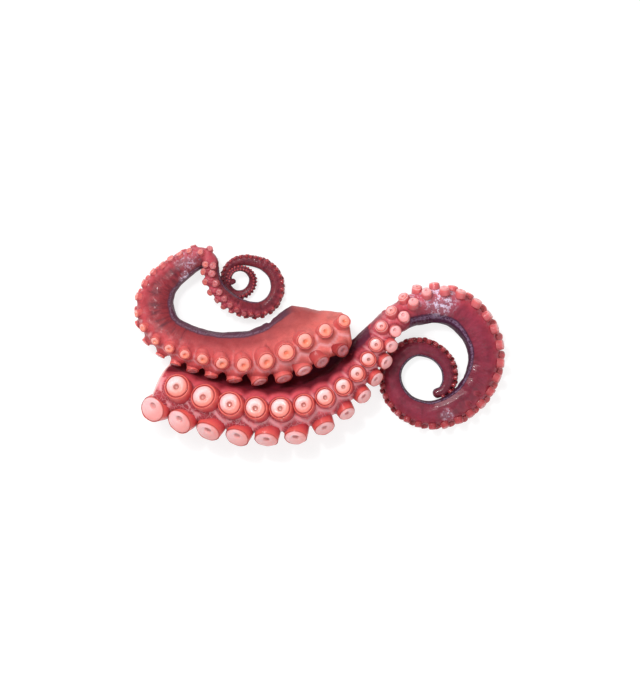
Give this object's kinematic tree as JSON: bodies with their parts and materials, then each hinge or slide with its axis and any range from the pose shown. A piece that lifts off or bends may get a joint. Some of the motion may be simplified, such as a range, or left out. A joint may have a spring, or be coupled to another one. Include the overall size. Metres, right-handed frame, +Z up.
{
  "type": "cooked octopus",
  "caption": "Cooked octopus arms laid over each other, curled at the ends, with two rows of cup-shaped suckers up the sides that show.",
  "frame": {"origin": "on the table, under the middle of the box of both arms as they lie", "axes": "+X along the serving's length, from the upper arm's bend to the lower arm's coil, +Z up"},
  "size_m": [0.2052, 0.1116, 0.0342],
  "materials": {
    "lower_arm_skin": "wet glossy boiled skin, wine red on the coil, pink on the suckers",
    "upper_arm_skin": "wet glossy boiled skin, salmon red, with pale pink suckers"
  },
  "bodies": {
    "root": {"lower_arm": "lower_arm_skin", "upper_arm": "upper_arm_skin"}
  },
  "joints": []
}
